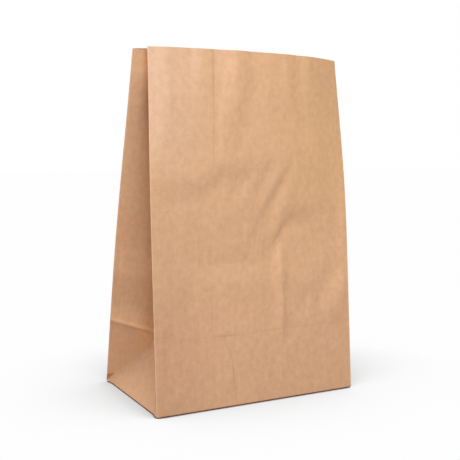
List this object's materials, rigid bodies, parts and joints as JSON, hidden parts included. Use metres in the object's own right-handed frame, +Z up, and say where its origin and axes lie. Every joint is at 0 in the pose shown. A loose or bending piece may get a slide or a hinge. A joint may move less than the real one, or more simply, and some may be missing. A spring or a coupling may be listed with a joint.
{
  "type": "paper lunch bag",
  "caption": "Brown kraft paper bag with side gussets and a folded block bottom, standing open, with a plain straight-cut mouth.",
  "frame": {"origin": "middle of the block bottom's rectangle, on the underside of its outer flap, at the height of the surface the bag stands on", "axes": "+Z up towards the mouth, -Y out of the front panel, +X to the right of someone who faces the front panel"},
  "size_m": [0.18, 0.1151, 0.286],
  "materials": {
    "kraft_paper": "matt, unbleached, faint upright machine streaks"
  },
  "bodies": {
    "root": {"paper_bag": "kraft_paper"}
  },
  "joints": []
}
